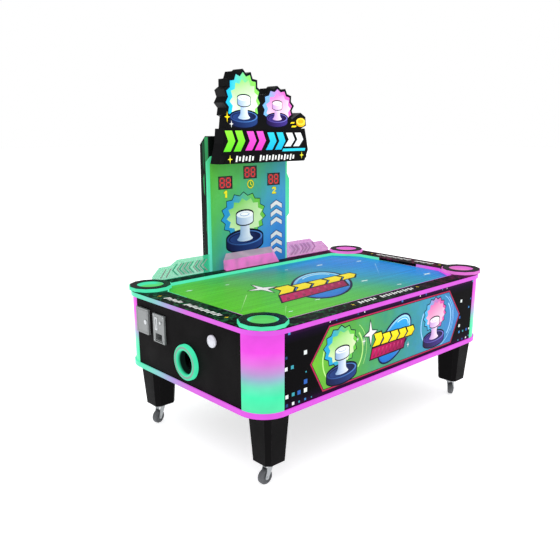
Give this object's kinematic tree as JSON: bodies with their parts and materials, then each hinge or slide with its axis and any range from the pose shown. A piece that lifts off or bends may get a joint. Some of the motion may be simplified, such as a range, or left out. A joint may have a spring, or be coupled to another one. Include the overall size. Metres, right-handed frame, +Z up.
{
  "type": "air hockey table",
  "caption": "Coin-operated air hockey table on castors, with lit corner columns, lit corner dishes, a raised score tower and an illuminated sign.",
  "frame": {"origin": "on the floor under the middle of the overall box", "axes": "+X towards the end without coin parts, +Y towards the side that carries the score tower, +Z up"},
  "size_m": [1.5, 1, 1.58],
  "materials": {
    "cabinet_board": "black laminated board, satin",
    "front_print": "printed gloss laminate on board",
    "plywood": "bare plywood",
    "corner_diffuser": "lit translucent acrylic, pink to mint",
    "strip_diffuser": "lit translucent strip, pink and mint",
    "rail_laminate": "dark gloss laminate with faint circuit lines",
    "inner_diffuser": "lit translucent strip",
    "ring_black": "black acrylic",
    "ring_diffuser": "lit translucent acrylic, mint and pink",
    "playing_surface": "printed gloss laminate with air holes, green to blue",
    "black_plastic": "moulded black plastic",
    "motor_alloy": "cast alloy",
    "port_diffuser": "lit translucent acrylic",
    "coin_steel": "brushed steel",
    "bright_metal": "bright plate",
    "pearl_plastic": "pearl white plastic",
    "leg_plastic": "black textured plastic",
    "zinc_steel": "zinc-plated steel",
    "castor_tyre": "dark grey rubber on a light hub",
    "tower_board": "black board with printed green shapes",
    "panel_print": "printed gloss acrylic, green to blue",
    "mint_acrylic": "edge-lit mint acrylic",
    "pink_acrylic": "edge-lit pink acrylic",
    "sign_plastic": "black acrylic with a printed face",
    "bracket_paint": "black paint",
    "display_plastic": "dark red window with red numerals",
    "switch_red": "red rocker",
    "circuit_parts": "circuit board and metal case"
  },
  "bodies": {
    "cabinet": {"floor_panel": "cabinet_board", "back_panel": "cabinet_board", "left_end_panel": "cabinet_board", "right_end_panel": "cabinet_board", "front_panel": "front_print", "corner_posts": "plywood", "plenum_tray": "plywood", "corner_light_fl": "corner_diffuser", "corner_light_fr": "corner_diffuser", "corner_light_bl": "corner_diffuser", "corner_light_br": "corner_diffuser", "top_light_strip": "strip_diffuser", "bottom_light_strip": "strip_diffuser", "rail_front": "rail_laminate", "rail_back": "rail_laminate", "rail_left": "rail_laminate", "rail_right": "rail_laminate", "inner_light_strip": "inner_diffuser", "corner_rings": "ring_black", "ring_lights": "ring_diffuser", "playfield": "playing_surface", "blower_housing": "black_plastic", "puck_chutes": "black_plastic", "tower_back_cover": "black_plastic", "power_inlet": "black_plastic", "blower_motor": "motor_alloy", "puck_port_rings": "port_diffuser", "coin_acceptor": "coin_steel", "cash_box": "coin_steel", "start_button_bezel": "pearl_plastic", "leg_fl": "leg_plastic", "leg_fr": "leg_plastic", "leg_bl": "leg_plastic", "leg_br": "leg_plastic", "castor_plates": "zinc_steel", "fixings": "zinc_steel", "tower_case": "tower_board", "tower_front_panel": "panel_print", "tower_edge_light": "mint_acrylic", "side_guard_left": "mint_acrylic", "tower_shelf": "pink_acrylic", "side_guard_right": "pink_acrylic", "header_sign": "sign_plastic", "mounting_brackets": "bracket_paint", "score_displays": "display_plastic", "electronics": "circuit_parts"},
    "castor_fl": {"castor_fork_fl": "zinc_steel"},
    "wheel_fl": {"castor_wheel_fl": "castor_tyre"},
    "castor_fr": {"castor_fork_fr": "zinc_steel"},
    "wheel_fr": {"castor_wheel_fr": "castor_tyre"},
    "castor_bl": {"castor_fork_bl": "zinc_steel"},
    "wheel_bl": {"castor_wheel_bl": "castor_tyre"},
    "castor_br": {"castor_fork_br": "zinc_steel"},
    "wheel_br": {"castor_wheel_br": "castor_tyre"},
    "coin_door": {"coin_door": "coin_steel"},
    "coin_lock": {"coin_lock": "bright_metal"},
    "coin_return": {"coin_return_button": "bright_metal"},
    "start_button": {"start_button": "pearl_plastic"},
    "power_switch": {"power_switch": "switch_red"},
    "blower_rotor": {"blower_impeller": "motor_alloy"}
  },
  "joints": [
    {"name": "castor_swivel_fl", "type": "hinge", "parent": "cabinet", "child": "castor_fl", "pos_m": [-0.622, -0.408, 0.08], "axis": [0, 0, 1], "continuous": true},
    {"name": "castor_roll_fl", "type": "hinge", "parent": "castor_fl", "child": "wheel_fl", "pos_m": [-0.644, -0.408, 0.03], "axis": [0, -1, 0], "continuous": true},
    {"name": "castor_swivel_fr", "type": "hinge", "parent": "cabinet", "child": "castor_fr", "pos_m": [0.622, -0.408, 0.08], "axis": [0, 0, 1], "continuous": true},
    {"name": "castor_roll_fr", "type": "hinge", "parent": "castor_fr", "child": "wheel_fr", "pos_m": [0.64267, -0.40048, 0.03], "axis": [-0.342, 0.9397, 0], "continuous": true},
    {"name": "castor_swivel_bl", "type": "hinge", "parent": "cabinet", "child": "castor_bl", "pos_m": [-0.622, 0.338, 0.08], "axis": [0, 0, 1], "continuous": true},
    {"name": "castor_roll_bl", "type": "hinge", "parent": "castor_bl", "child": "wheel_bl", "pos_m": [-0.64325, 0.33231, 0.03], "axis": [0.2588, -0.9659, 0], "continuous": true},
    {"name": "castor_swivel_br", "type": "hinge", "parent": "cabinet", "child": "castor_br", "pos_m": [0.622, 0.338, 0.08], "axis": [0, 0, 1], "continuous": true},
    {"name": "castor_roll_br", "type": "hinge", "parent": "castor_br", "child": "wheel_br", "pos_m": [0.60515, 0.35214, 0.03], "axis": [-0.6428, -0.766, 0], "continuous": true},
    {"name": "blower_spin", "type": "hinge", "parent": "cabinet", "child": "blower_rotor", "pos_m": [0, -0.035, 0.428], "axis": [0, 1, 0], "continuous": true},
    {"name": "coin_door_hinge", "type": "hinge", "parent": "cabinet", "child": "coin_door", "pos_m": [-0.7366, 0.3082, 0.5265], "axis": [0, 0, -1], "range_deg": [0, 100]},
    {"name": "coin_lock_turn", "type": "hinge", "parent": "coin_door", "child": "coin_lock", "pos_m": [-0.74, 0.231, 0.526], "axis": [-1, 0, 0], "range_deg": [0, 90]},
    {"name": "coin_return_press", "type": "slide", "parent": "cabinet", "child": "coin_return", "axis": [1, 0, 0], "range_m": [0, 0.004], "stiffness_N_per_m": 400},
    {"name": "start_press", "type": "slide", "parent": "cabinet", "child": "start_button", "axis": [1, 0, 0], "range_m": [0, 0.0035], "stiffness_N_per_m": 400},
    {"name": "power_rocker", "type": "hinge", "parent": "cabinet", "child": "power_switch", "pos_m": [0.47, 0.42, 0.399], "axis": [-1, 0, 0], "range_deg": [0, 14]}
  ]
}
